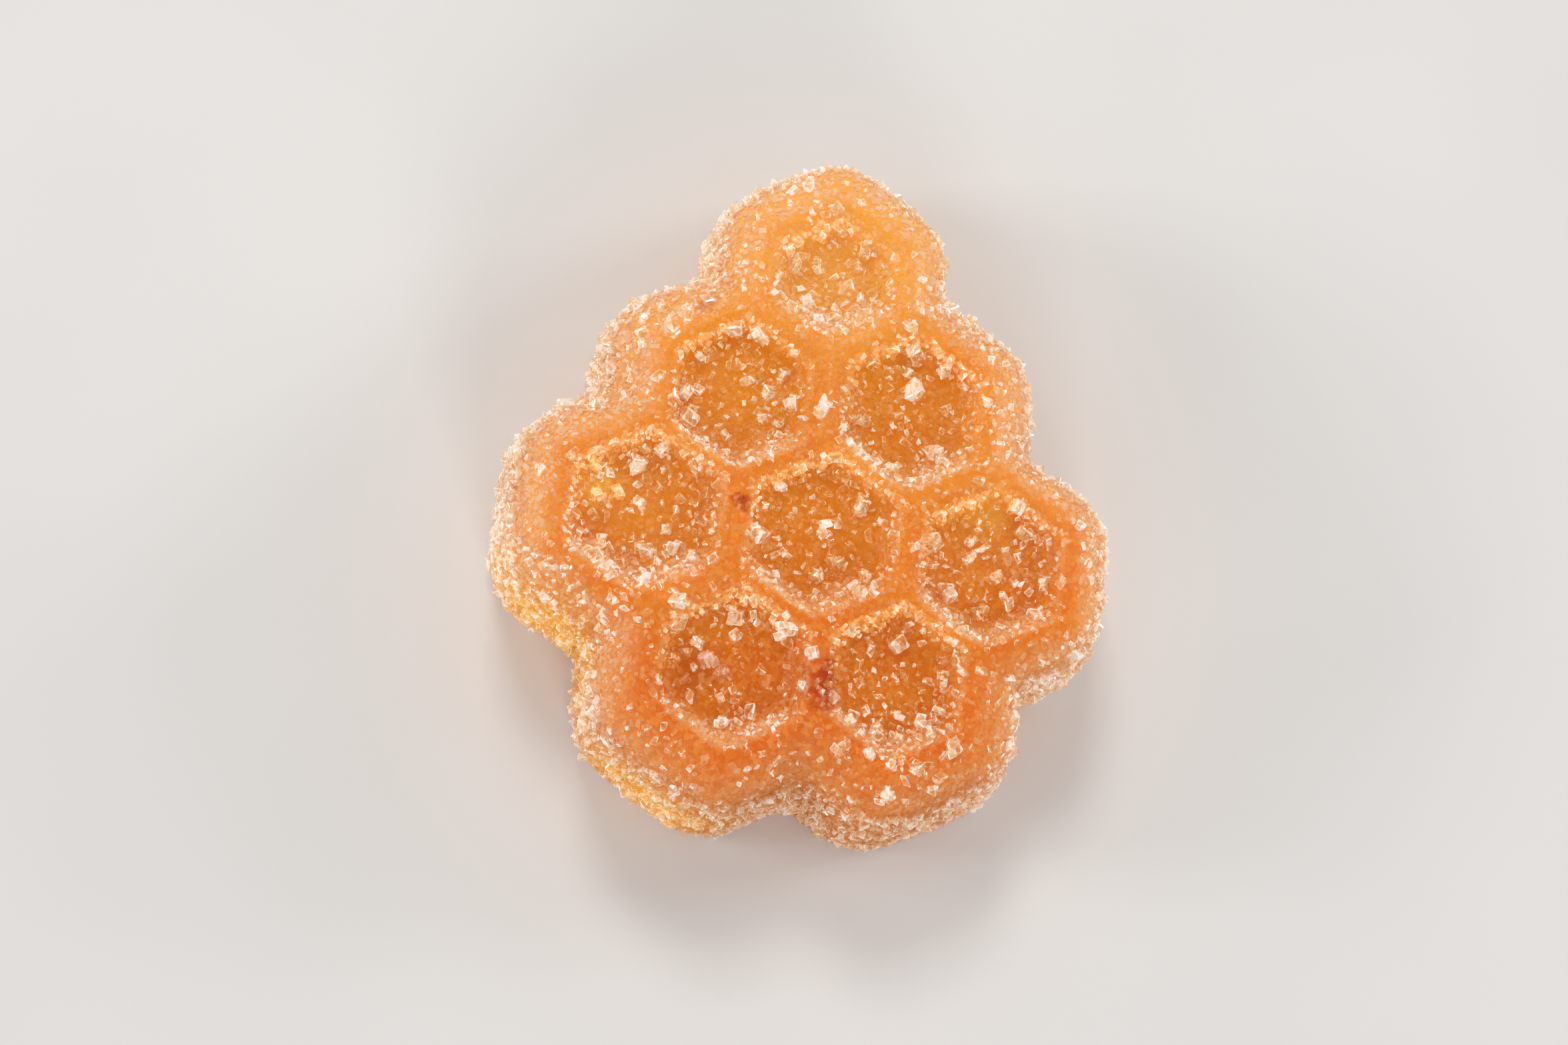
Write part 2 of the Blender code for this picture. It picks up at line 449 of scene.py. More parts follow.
@dataclass(frozen=True)
class CoarseSugar:
    """The largest grains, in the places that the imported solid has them.

    Heights and places are in millimetres. A top clump is its place in plan and its number of grains, a side
    clump the way it lies in degrees, its height and its number of grains. The other shares are of a grain's
    size. Each grain is broken up into pieces, the first the largest.
    """

    seed: int = 8
    per_cell: int = 11
    round_side: int = 36
    least: float = 0.6 * MM
    most: float = 1.15 * MM
    sunk: float = 0.12
    gap: float = 0.4
    spread: float = 0.6
    spread_turn: float = 3.0
    lowest: float = 1.1
    highest: float = 8.0
    width: tuple = (0.7, 1.0)
    depth: tuple = (0.5, 0.9)
    corner: tuple = (0.82, 1.0)
    chamfer: float = 0.1
    pieces: int = 4
    first_piece: float = 0.86
    other_pieces: tuple = (0.4, 0.66)
    piece_turn: float = 0.5
    piece_shift: float = 0.34
    piece_corner: tuple = (0.72, 1.0)
    least_white: float = 0.15
    rarely_white: float = 1.5
    steep: float = 0.6
    steep_white: float = 0.6
    golden_bare: float = 0.8
    top_clumps: tuple = (
        (0.0, 7.7, 7),
        (-6.4, 7.1, 3),
        (-1.6, 2.8, 4),
        (-0.6, 3.4, 3),
        (-9.8, 0.5, 6),
        (-8.4, -3.6, 4),
        (-10.0, -2.3, 4),
        (-5.7, -2.3, 5),
        (2.1, -4.4, 4),
        (-5.9, -5.7, 4),
        (0.6, -8.5, 3),
        (2.5, -11.0, 6),
        (3.9, -11.7, 5),
        (5.8, -10.8, 3),
        (7.3, 4.3, 3),
        (4.1, 6.3, 4),
        (8.1, -3.3, 4),
    )
    side_clumps: tuple = (
        (143, 7.2, 6),
        (150, 6.4, 6),
        (159, 7.0, 6),
        (97, 7.2, 3),
        (178, 6.0, 4),
        (282, 1.8, 4),
    )

    def rays(self, rng: random.Random, slab: JellySlab) -> list[tuple[Vector, Vector]]:
        """Finds where each coarse grain is dropped from and which way it falls.

        Args:
            rng: The source of chance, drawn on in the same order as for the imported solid.
            slab: The jelly's sizes.

        Returns:
            A start and a direction for each grain.
        """
        rays = []
        down = Vector((0, 0, -1))
        for cell in CELLS:
            for _ in range(self.per_cell):
                way = rng.uniform(0, math.tau)
                far = math.sqrt(rng.random())
                x = cell.x + cell.wide * far * math.cos(way)
                y = cell.y + cell.tall * far * math.sin(way)
                rays.append((Vector((x * MM, y * MM, 2 * slab.top_height)), down))
        for x, y, count in self.top_clumps:
            for _ in range(count):
                spot = (rng.gauss(x, self.spread) * MM, rng.gauss(y, self.spread) * MM, 2 * slab.top_height)
                rays.append((Vector(spot), down))
        heights = (self.lowest, self.highest)
        around = [(rng.uniform(0, 360), rng.uniform(*heights)) for _ in range(self.round_side)]
        for turn, height, count in self.side_clumps:
            for _ in range(count):
                spot = rng.gauss(turn, self.spread_turn), max(rng.gauss(height, self.spread), self.lowest)
                around.append(spot)
        for turn, height in around:
            out = Vector((math.cos(math.radians(turn)), math.sin(math.radians(turn)), 0))
            rays.append((out * 2 * slab.crown_reach + Vector((0, 0, height * MM)), -out))
        return rays

    def build(self, slab: JellySlab, ground: BVHTree, block: "Block") -> bpy.types.Object:
        """Makes the coarse grains.

        Args:
            slab: The jelly's sizes.
            ground: The surface that the grains fall on.
            block: The crystal that is copied.

        Returns:
            All coarse grains as one mesh.
        """
        rng = random.Random(self.seed)
        chips = np.random.default_rng(self.seed)
        taken = []
        points = []
        whites = []
        for start, way in self.rays(rng, slab):
            size = rng.uniform(self.least, self.most)
            broad, deep = rng.uniform(*self.width), rng.uniform(*self.depth)
            shape = Matrix.Diagonal((size, size * broad, size * deep, 1))
            turn = Euler([rng.uniform(0, math.tau) for _ in range(3)]).to_matrix().to_4x4()
            dents = [rng.uniform(*self.corner) for _ in range(8)]
            spot, normal, _, _ = ground.ray_cast(start, way)
            if any((spot - other).length < self.gap * (size + wide) for other, wide in taken):
                continue
            taken.append((spot, size))
            middle = spot + normal * self.sunk * size + Vector((*slab.footprint_shift, 0))
            place = np.array(Matrix.Translation(middle) @ turn @ shape)
            points += self.clump(place, np.array(dents), block, chips)
            # Whiteness by chance, and on steep sides at least fairly white: sugar there, and painted light
            # like the pale sides.
            white = self.least_white + (1 - self.least_white) * chips.random() ** self.rarely_white
            whites += [max(white, self.steep_white) if normal.z < self.steep else white] * self.pieces
        middles = np.array([corners.mean(axis=0) for corners in points]) / MM
        # Coarse grains in the side and cell glows carry the painted glow, and are painted less white there.
        places = (*SIDE_GLOWS, *CELL_GLOWS)
        golden = [np.linalg.norm(middles - glow.spot, axis=1) < glow.radius for glow in places]
        marks = {"tone": chips.random(len(points)), "frost_and_painted_light": np.array(whites)}
        marks["painted_glow"] = np.any(golden, axis=0).astype(float)
        marks["frost_and_painted_light"] *= 1 - self.golden_bare * marks["painted_glow"]
        return block.copies("sugar_coarse", np.array(points), marks)

    def clump(
        self, place: np.ndarray, dents: np.ndarray, block: "Block", chips: np.random.Generator
    ) -> list[np.ndarray]:
        """Breaks one coarse grain into a clump of crystals that grew together, about as big as it.

        Args:
            place: The grain's matrix.
            dents: How far each of its eight corners is cut back.
            block: The crystal that is copied.
            chips: The source of chance.

        Returns:
            The corners of each crystal of the clump.
        """
        made = []
        for piece in range(self.pieces):
            share = self.first_piece if piece == 0 else chips.uniform(*self.other_pieces)
            turned = chips.uniform(-self.piece_turn, self.piece_turn, 3) * (piece > 0)
            turn = np.array(Euler(turned).to_matrix())
            cut = dents * chips.uniform(*self.piece_corner, 8)
            corners = block.corners * cut[block.octants][:, None] * share @ turn.T
            corners = corners + chips.uniform(-self.piece_shift, self.piece_shift, 3) * (piece > 0)
            made.append(corners @ place[:3, :3].T + place[:3, 3])
        return made


SQUARE_ON = 0.99


class Block:
    """One sugar crystal, modelled once, whose copies are joined into one mesh for each kind."""

    def __init__(self, chamfer: float) -> None:
        """Models a unit block.

        Args:
            chamfer: How much of its edges is cut off, or 0.
        """
        nothing_selected()
        bpy.ops.mesh.primitive_cube_add(size=1)
        cube = bpy.context.object
        if chamfer:
            with ShapeEditor(cube, "EDGE"):
                bpy.ops.mesh.select_all(action="SELECT")
                bpy.ops.mesh.bevel(offset=chamfer, segments=1, affect="EDGES")
        self.corners = np.array([v.co for v in cube.data.vertices])
        self.octants = (self.corners > 0) @ np.array([4, 2, 1])
        self.edges = np.array([max(map(abs, f.normal)) < SQUARE_ON for f in cube.data.polygons], float)
        self.faces = [list(f.vertices) for f in cube.data.polygons]
        bpy.data.meshes.remove(cube.data)

    def copies(self, name: str, points: np.ndarray, marks: dict[str, np.ndarray]) -> bpy.types.Object:
        """Joins copies of the block into one mesh.

        Args:
            name: The new object's name.
            points: The corners of every copy.
            marks: By name, numbers from 0 to 1 for each copy, which its finish follows.

        Returns:
            The joined object, with the marks as attributes.
        """
        count, corners = points.shape[:2]
        points[:, :, 2] = np.maximum(points[:, :, 2], 0.0)
        loops = np.concatenate([np.array(f) for f in self.faces])
        starts = np.cumsum([0] + [len(f) for f in self.faces[:-1]])
        mesh = bpy.data.meshes.new(name)
        mesh.vertices.add(count * corners)
        mesh.vertices.foreach_set("co", points.astype(np.float32).ravel())
        mesh.loops.add(count * len(loops))
        mesh.loops.foreach_set("vertex_index", (loops + np.arange(count)[:, None] * corners).ravel())
        mesh.polygons.add(count * len(starts))
        mesh.polygons.foreach_set("loop_start", (starts + np.arange(count)[:, None] * len(loops)).ravel())
        mesh.update(calc_edges=True)
        mesh.shade_flat()
        for mark, values in marks.items():
            held = mesh.attributes.new(mark, "FLOAT", "POINT")
            held.data.foreach_set("value", np.repeat(values, corners).astype(np.float32))
        if self.edges.any():
            edge = mesh.attributes.new("edge", "FLOAT", "FACE")
            edge.data.foreach_set("value", np.tile(self.edges, count).astype(np.float32))
        item = bpy.data.objects.new(name, mesh)
        bpy.context.scene.collection.objects.link(item)
        return item


@dataclass(frozen=True)
class FrostingAndPaintedLight:
    """Where the sugar lies white or golden, from thick sugar, painted light and painted glow, in shares from
    0 to 1 and in millimetres.

    A way is a direction in plan, and a reach is how far out from a cell's middle a thing goes, where 1 is
    the cell's opening.
    """

    # The lit way points towards the key light in plan, and the shaded way away from it: walls facing the
    # first are painted pale, walls facing the second golden.
    lit_way: tuple = (0.1, 0.995, 0.0)
    shaded_way: tuple = (0.35, -0.94, 0.0)
    wall_from: float = 0.25
    wall_gain: float = 1.8
    wall_white: float = 0.6
    lower_wall_reach: float = 1.1
    upper_wall_reach: float = 1.12
    row_reach: float = 1.02
    row_width: float = 0.06
    row_white: float = 0.35
    upper_row_white: float = 0.25
    upper_row_golden: float = 0.8
    glow_reach: float = 1.3
    glow_golden: float = 0.75
    glow_bare: float = 0.9
    slope_reach: float = 1.1
    slope_over: float = 0.3
    slope_level: float = 1.5
    slope_upright: float = 0.9
    slope_most: float = 0.9
    slope_least: float = 0.32
    slope_along: float = 1.02
    slope_lit: float = 0.15
    end_middle: float = 0.5
    end_range: tuple = (-0.5, 0.4)
    end_sideways: float = 20.0
    end_lengthways: float = 34.0
    fringe_at: float = 0.1
    fringe_fade: float = 1.6
    fringe_white: float = 0.25
    narrow_end: tuple = (1.2, 11.0)
    narrow_end_size: float = 3.0
    narrow_end_reach: float = 1.2
    narrow_end_white: float = 0.36
    flank_from: float = 4.0
    flank_lowest: float = -4.0
    flank_white: float = 0.15
    uneven: float = 0.16


@dataclass
class SugarCoat:
    """The middle-sized and fine sugar, scattered over the jelly."""

    jelly: bpy.types.Object
    frosting_and_light: FrostingAndPaintedLight = FrostingAndPaintedLight()
    top_above: float = 0.3
    base_below: float = -0.7
    floor_reach: float = 0.95
    rim_reach: float = 1.01
    rim_width: float = 0.07
    clump_size: float = 1.8 * MM
    clump_waves: int = 24
    clump_spread: float = 2.2
    length: tuple = (0.9, 1.35)
    width: tuple = (0.55, 1.0)
    depth: tuple = (0.45, 0.9)
    tries_per_grain: int = 3

    def __post_init__(self) -> None:
        """Reads the jelly's surface."""
        mesh = self.jelly.data
        mesh.calc_loop_triangles()
        triangles = np.empty(len(mesh.loop_triangles) * 3, np.int32)
        mesh.loop_triangles.foreach_get("vertices", triangles)
        spots = np.empty(len(mesh.vertices) * 3, np.float32)
        mesh.vertices.foreach_get("co", spots)
        self.triangles = spots.reshape(-1, 3)[triangles.reshape(-1, 3)].astype(float)
        first, second, third = self.triangles.transpose(1, 0, 2)
        cross = np.cross(second - first, third - first)
        doubled = np.linalg.norm(cross, axis=1)
        self.area = doubled / 2
        self.normal = cross / np.maximum(doubled, 1e-12)[:, None]
        self.middle = self.triangles.mean(axis=1)

    def chance(self, kind: SugarKind) -> np.ndarray:
        """Weighs how likely a grain is to lie on each triangle.

        Args:
            kind: The kind of sugar.

        Returns:
            The chances, which add up to 1.
        """
        up = self.normal[:, 2]
        zones = {
            Zone.TOP: up > self.top_above,
            Zone.SIDE: (up <= self.top_above) & (up > self.base_below),
            Zone.BASE: up <= self.base_below,
        }
        here = np.any([zones[z] for z in kind.zones], axis=0)
        out = self.nearest_cell(self.middle)
        weight = self.area * here * np.where(out < self.floor_reach, kind.in_cells, 1.0)
        weight *= 1 + kind.on_rims * (np.abs(out - self.rim_reach) < self.rim_width)
        weight *= 1 + kind.on_walls * self.lower_wall(self.middle, self.normal)
        weight *= np.exp(kind.clumped * self.drift(self.middle, kind.seed))
        return weight / weight.sum()

    def drift(self, places: np.ndarray, seed: int) -> np.ndarray:
        """A smooth random field over space, about -2 to 2, that gathers the grains in loose clumps.

        Args:
            places: Where the field is wanted.
            seed: Which field it is.

        Returns:
            The field's value at each place.
        """
        rng = np.random.default_rng(seed)
        waves = rng.standard_normal((3, self.clump_waves)) * self.clump_spread / self.clump_size
        starts = rng.uniform(0, math.tau, self.clump_waves)
        return np.cos(places @ waves + starts).sum(axis=1) / math.sqrt(self.clump_waves / 2)

    def nearest_cell(self, places: np.ndarray) -> np.ndarray:
        """How far out each place lies in the cell that it is nearest to."""
        return np.min([cell.share_out(places) for cell in CELLS], axis=0)

    def rim_row(self, places: np.ndarray) -> tuple[np.ndarray, np.ndarray]:
        """How near each place is to the row of crystals round an opening, and to the row's upper part.

        Args:
            places: Where the grains lie.

        Returns:
            Two numbers from 0 to 1 for each place.
        """
        shares = np.array([cell.share_out(places) for cell in CELLS])
        near = shares.argmin(axis=0)
        middles = np.array([cell.y for cell in CELLS])[near]
        heights = np.array([cell.tall for cell in CELLS])[near]
        upper = np.clip((places[:, 1] / MM - middles) / heights, 0, 1)
        off = (shares.min(axis=0) - self.frosting_and_light.row_reach) / self.frosting_and_light.row_width
        row = np.exp(-(off**2))
        return row, row * upper

    def painted_glow(self, places: np.ndarray, normals: np.ndarray) -> np.ndarray:
        """How golden the sugar is painted, as a painted glow of light coming through the jelly: most on the
        shaded upper walls, along the upper part of the rims and on the thin side.

        Args:
            places: Where the grains lie.
            normals: Which way the surface faces there.

        Returns:
            A number from 0 to 1 for each grain.
        """
        look = self.frosting_and_light
        away = normals @ np.array(look.shaded_way)
        wall = np.clip((away - look.wall_from) * look.wall_gain, 0, 1)
        wall = wall * (self.nearest_cell(places) < look.upper_wall_reach)
        row = look.upper_row_golden * self.rim_row(places)[1]
        return np.maximum(np.maximum(wall, row), look.glow_golden * self.glow(places))

    def glow(self, places: np.ndarray) -> np.ndarray:
        """How much each place lies where the thin side has its painted glow."""
        shares = [np.linalg.norm(places / MM - mark.spot, axis=1) / mark.radius for mark in SIDE_GLOWS]
        return np.clip(self.frosting_and_light.glow_reach - np.min(shares, axis=0), 0, 1)

    def lower_wall(self, places: np.ndarray, normals: np.ndarray) -> np.ndarray:
        """How much each grain lies on a cell's lower wall, which faces the light: the sugar has gathered
        there, and its whiteness there is painted light as well.

        Args:
            places: Where the grains lie.
            normals: Which way the surface faces there.

        Returns:
            A number from 0 to the wall's whiteness for each grain.
        """
        look = self.frosting_and_light
        lit = normals @ np.array(look.lit_way)
        wall = np.clip((lit - look.wall_from) * look.wall_gain, 0, look.wall_white)
        return wall * (self.nearest_cell(places) < look.lower_wall_reach)

    def slope(self, places: np.ndarray, normals: np.ndarray) -> np.ndarray:
        """How pale the sugar is painted outside the cells, as painted light: paler on steep sides, on faces
        towards the light and towards the narrow end, where the light falls, less where it glows.

        Args:
            places: Where the grains lie.
            normals: Which way the surface faces there.

        Returns:
            A number from 0 to about 1 for each grain.
        """
        look = self.frosting_and_light
        outside = np.clip((self.nearest_cell(places) - look.slope_reach) / look.slope_over, 0, 1)
        end = np.abs(places[:, 0]) * look.end_sideways + places[:, 1] * look.end_lengthways
        along = look.end_middle + np.clip(end, *look.end_range)
        lit = normals @ np.array(look.lit_way)
        # Painted light: the steep sides, which the lamps light less, are painted paler, as are faces towards
        # the light.
        steep = np.clip(look.slope_level - look.slope_upright * normals[:, 2], 0, look.slope_most)
        shares = look.slope_least + look.slope_along * along + look.slope_lit * lit
        return steep * shares * outside * (1 - look.glow_bare * self.glow(places))

    def frost_and_painted_light(self, places: np.ndarray, normals: np.ndarray) -> np.ndarray:
        """How white the sugar is, from thick sugar and from painted light: most on the cells' lower walls,
        which face the light, along their rims and round the sides, whose upright rim and steep slopes are
        painted pale, and at the narrow end, painted lighter where the light falls.

        Args:
            places: Where the grains lie.
            normals: Which way the surface faces there.

        Returns:
            A number from 0 to 1 for each grain.
        """
        look = self.frosting_and_light
        row, upper_row = self.rim_row(places)
        # Painted sheen as well as thick sugar: where the side stands upright, its rim is painted pale, as
        # sugar seen edge-on catches the light.
        upright = 1 - look.fringe_fade * np.abs(normals[:, 2] - look.fringe_at)
        fringe = np.clip(upright, 0, look.fringe_white) * (1 - self.glow(places))
        # Painted light: round the narrow end, where the key lamp's light falls, the sugar is painted whiter.
        far = np.linalg.norm(places[:, :2] / MM - look.narrow_end, axis=1) / look.narrow_end_size
        end = np.clip(2 - far, 0, 1) * (self.nearest_cell(places) < look.narrow_end_reach)
        sideways = np.clip(np.abs(places[:, 0]) / MM / look.flank_from - 1, 0, 1)
        flank = sideways * (places[:, 1] > look.flank_lowest * MM)
        white = np.maximum(self.lower_wall(places, normals), self.slope(places, normals)) + fringe
        white += look.narrow_end_white * end + look.flank_white * flank
        white += look.row_white * row + look.upper_row_white * upper_row
        return np.clip(white, 0, 1)

    def paint_dust_and_light(self) -> None:
        """Marks on the jelly how white the finest sugar is, from its thickness and from painted light, which
        its finish follows.
        """
        mesh = self.jelly.data
        places, normals = np.empty((2, len(mesh.vertices) * 3), np.float32)
        mesh.vertices.foreach_get("co", places)
        mesh.vertex_normals.foreach_get("vector", normals)
        frost_and_painted_light = self.frost_and_painted_light(places.reshape(-1, 3).astype(float), normals.reshape(-1, 3).astype(float))
        held = mesh.attributes.new("frost_and_painted_light", "FLOAT", "POINT")
        held.data.foreach_set("value", frost_and_painted_light.astype(np.float32))

    def spots(
        self, kind: SugarKind, rng: np.random.Generator
    ) -> tuple[np.ndarray, np.ndarray, np.ndarray]:
        """Picks places that aren't too near each other.

        Args:
            kind: The kind of sugar.
            rng: The source of chance.

        Returns:
            The places, the surface's directions there, and the grains' sizes.
        """
        tries = kind.count * self.tries_per_grain
        chosen = rng.choice(len(self.area), tries, p=self.chance(kind))
        u, v = rng.random((2, tries))
        fold = u + v > 1
        u, v = np.where(fold, 1 - u, u), np.where(fold, 1 - v, v)
        a, b, c = self.triangles[chosen].transpose(1, 0, 2)
        places = a + (b - a) * u[:, None] + (c - a) * v[:, None]
        sizes = (kind.least + (kind.most - kind.least) * rng.random(tries) ** kind.rare) * MM
        kept = self.spread(kind, places, sizes)
        return places[kept], self.normal[chosen[kept]], sizes[kept]

    def spread(self, kind: SugarKind, places: np.ndarray, sizes: np.ndarray) -> list[int]:
        """Takes the places one by one and leaves out each that is too near one already taken.

        Args:
            kind: The kind of sugar.
            places: The places tried.
            sizes: The grains' sizes there.

        Returns:
            The numbers of the places that are kept.
        """
        kept = []
        boxes: dict[tuple, list[int]] = {}
        around = list(product((-1, 0, 1), repeat=3))
        for index, key in enumerate(map(tuple, np.floor(places / (kind.most * MM)).astype(int))):
            a, b, c = key
            x, y, z = places[index]
            free = all(
                (x - places[j, 0]) ** 2 + (y - places[j, 1]) ** 2 + (z - places[j, 2]) ** 2
                > (kind.gap * (sizes[index] + sizes[j])) ** 2
                for da, db, dc in around
                for j in boxes.get((a + da, b + db, c + dc), ())
            )
            if free:
                boxes.setdefault(key, []).append(index)
                kept.append(index)
                if len(kept) == kind.count:
                    break
        return kept

    def scatter(self, kind: SugarKind, block: Block) -> bpy.types.Object:
        """Lays one kind of sugar on the jelly.

        Args:
            kind: The kind of sugar.
            block: The crystal that is copied.

        Returns:
            All grains of the kind as one mesh.
        """
        rng = np.random.default_rng(kind.seed)
        places, normals, sizes = self.spots(kind, rng)
        count = len(places)
        up = normals + kind.tilt * rng.standard_normal((count, 3))
        up /= np.linalg.norm(up, axis=1)[:, None]
        along = np.cross(up, rng.standard_normal((count, 3)))
        along /= np.linalg.norm(along, axis=1)[:, None]
        across = np.cross(up, along)
        length = sizes * rng.uniform(*self.length, count)
        width = sizes * rng.uniform(*self.width, count)
        depth = sizes * rng.uniform(*self.depth, count)
        dents = rng.uniform(1 - kind.broken, 1.0, (count, 8))[:, block.octants]
        corners = block.corners[None] * dents[:, :, None]
        points = (
            (places + normals * (kind.lift * depth)[:, None])[:, None]
            + corners[:, :, :1] * (along * length[:, None])[:, None]
            + corners[:, :, 1:2] * (across * width[:, None])[:, None]
            + corners[:, :, 2:] * (up * depth[:, None])[:, None]
        )
        frost_and_painted_light = self.frost_and_painted_light(places, normals) + self.frosting_and_light.uneven * rng.standard_normal(count)
        marks = {"tone": rng.random(count), "frost_and_painted_light": np.clip(frost_and_painted_light, 0, 1), "painted_glow": self.painted_glow(places, normals)}
        return block.copies(kind.name, points, marks)


class Wiring:
    """Places nodes in a node tree and joins them."""

    def __init__(self, tree: bpy.types.NodeTree) -> None:
        """Remembers the tree."""
        self.tree = tree

    def node(self, kind: str, **values: object) -> bpy.types.Node:
        """Adds a node and sets its properties."""
        made = self.tree.nodes.new(kind)
        for name, value in values.items():
            setattr(made, name, value)
        return made

    def join(self, source: Socket, target: Socket) -> None:
        """Joins two sockets."""
        self.tree.links.new(source, target)

    def fill(self, node: bpy.types.Node, parts: dict) -> None:
        """Joins sockets to a node's inputs, or sets constants directly on them.

        Args:
            node: The node.
            parts: By name or number of the input, a socket or a constant.
        """
        for name, part in parts.items():
            if isinstance(part, Socket):
                self.join(part, node.inputs[name])
            else:
                node.inputs[name].default_value = part

    def maths(self, operation: str, *parts: object) -> Socket:
        """A Math node on sockets or numbers, and its result."""
        made = self.node("ShaderNodeMath", operation=operation)
        self.fill(made, dict(enumerate(parts)))
        return made.outputs[0]

    def texture(self, kind: str, scale: float, place: Socket) -> bpy.types.Node:
        """Adds a texture that follows a place."""
        made = self.node(kind)
        self.fill(made, {"Scale": scale, "Vector": place})
        return made

    def patchwork(self, scale: float, place: Socket) -> bpy.types.Node:
        """Adds small patches, and gives out three chance numbers for each."""
        patches = self.texture("ShaderNodeTexVoronoi", scale, place)
        made = self.node("ShaderNodeSeparateColor")
        self.join(patches.outputs["Color"], made.inputs[0])
        return made

    def ramp(self, factor: Socket, stops: tuple) -> Socket:
        """A Color Ramp with the given stops, and its colour."""
        made = self.node("ShaderNodeValToRGB")
        elements = made.color_ramp.elements
        while len(elements) < len(stops):
            elements.new(0.5)
        for element, (place, colour) in zip(elements, stops):
            element.position = place
            element.color = (*colour, 1)
        self.join(factor, made.inputs[0])
        return made.outputs[0]

    def mix(self, factor: object, first: object, second: object) -> Socket:
        """A colour mix of two sockets or colours, and its result."""
        made = self.node("ShaderNodeMix", data_type="RGBA")
        first, second = ((*part, 1) if isinstance(part, tuple) else part for part in (first, second))
        self.fill(made, {0: factor, 6: first, 7: second})
        return made.outputs[2]


def new_material(name: str) -> tuple[bpy.types.Material, Wiring, bpy.types.Node, Socket]:
    """Starts a material.

    Args:
        name: The material's name.

    Returns:
        The material, its wiring, its shader and the object coordinates.
    """
    made = bpy.data.materials.new(name)
    made.use_nodes = True
    wiring = Wiring(made.node_tree)
    place = wiring.node("ShaderNodeTexCoord").outputs["Object"]
    return made, wiring, made.node_tree.nodes["Principled BSDF"], place


def soft_spot_group(
    raggedness: float = 1.4, edge: float = 1.0, core: float = 0.25
) -> bpy.types.NodeTree:
    """A mask that is 1 at a place on the sweet and fades to 0 at its ragged edge.

    Args:
        raggedness: How far the edge is moved in and out, as a share of the radius.
        edge: Where the mask has faded to 0, as a share of the radius.
        core: Where it starts to fade.

    Returns:
        The node group, shared by the jelly and the sugar.
    """
    tree = bpy.data.node_groups.new("soft_spot", "ShaderNodeTree")
    for name, kind in (
        ("Place", "NodeSocketVector"),
        ("Ragged", "NodeSocketFloat"),
        ("Middle", "NodeSocketVector"),
        ("Radius", "NodeSocketFloat"),
        ("Strength", "NodeSocketFloat"),
    ):
        tree.interface.new_socket(name, in_out="INPUT", socket_type=kind)
    tree.interface.new_socket("Mask", in_out="OUTPUT", socket_type="NodeSocketFloat")
    wiring = Wiring(tree)
    given = wiring.node("NodeGroupInput")
    wanted = wiring.node("NodeGroupOutput")
    far = wiring.node("ShaderNodeVectorMath", operation="DISTANCE")
    wiring.fill(far, {0: given.outputs["Place"], 1: given.outputs["Middle"]})
    share = wiring.maths("DIVIDE", far.outputs["Value"], given.outputs["Radius"])
    torn = wiring.maths("MULTIPLY_ADD", given.outputs["Ragged"], raggedness, -raggedness / 2)
    uneven = wiring.maths("ADD", share, torn)
    fade = wiring.node("ShaderNodeMapRange", interpolation_type="SMOOTHSTEP")
    wiring.fill(fade, {"Value": uneven, "From Min": edge, "From Max": core})
    mask = wiring.maths("MULTIPLY", fade.outputs[0], given.outputs["Strength"])
    wiring.join(mask, wanted.inputs["Mask"])
    return tree


def tint_and_painted_light_group(
    broad_end: float = -12.0 * MM,
    narrow_end: float = 18.0 * MM,
    drift_scale: float = 260.0,
    drift: float = 0.9,
) -> bpy.types.NodeTree:
    """How golden the sweet is at a place: more towards its narrow end, where the light falls, as painted
    light, and in broad drifts of its own tone.

    Args:
        broad_end: Where along the sweet it is deep orange.
        narrow_end: Where it is golden.
        drift_scale: How fine the drifts are.
        drift: How strong they are.

    Returns:
        The node group, shared by the jelly and the sugar.
    """
    tree = bpy.data.node_groups.new("tint_and_painted_light", "ShaderNodeTree")
    tree.interface.new_socket("Place", in_out="INPUT", socket_type="NodeSocketVector")
    tree.interface.new_socket("Golden", in_out="OUTPUT", socket_type="NodeSocketFloat")
    wiring = Wiring(tree)
    given = wiring.node("NodeGroupInput")
    wanted = wiring.node("NodeGroupOutput")
    axes = wiring.node("ShaderNodeSeparateXYZ")
    wiring.join(given.outputs["Place"], axes.inputs[0])
    lengthways = wiring.node("ShaderNodeMapRange")
    wiring.fill(lengthways, {"Value": axes.outputs["Y"], "From Min": broad_end, "From Max": narrow_end})
    drifts = wiring.texture("ShaderNodeTexNoise", drift_scale, given.outputs["Place"])
    drifts.inputs["Detail"].default_value = 1.0
    broad = wiring.maths("MULTIPLY_ADD", drifts.outputs[0], drift, -drift / 2)
    wiring.join(wiring.maths("ADD", lengthways.outputs[0], broad), wanted.inputs["Golden"])
    return tree


@dataclass(frozen=True)
class Effects:
    """The effects that the jelly and the sugar share."""

    spot: bpy.types.NodeTree
    tint_and_light: bpy.types.NodeTree

    def marked(
        self,
        wiring: Wiring,
        place: Socket,
        ragged: Socket,
        colour: Socket,
        marks: tuple,
        paint: tuple,
    ) -> Socket:
        """Paints marks over a colour.

        Args:
            wiring: The material's nodes.
            place: Object coordinates.
            ragged: What breaks up the marks' edges.
            colour: The colour under the marks.
            marks: The marks.
            paint: Their colour.

        Returns:
            The painted colour.
        """
        for mark in marks:
            mask = wiring.node("ShaderNodeGroup", node_tree=self.spot)
            middle = [v * MM for v in mark.spot]
            parts = {"Place": place, "Ragged": ragged, "Middle": middle}
            wiring.fill(mask, parts | {"Radius": mark.radius * MM, "Strength": mark.strength})
            colour = wiring.mix(mask.outputs["Mask"], colour, paint)
        return colour


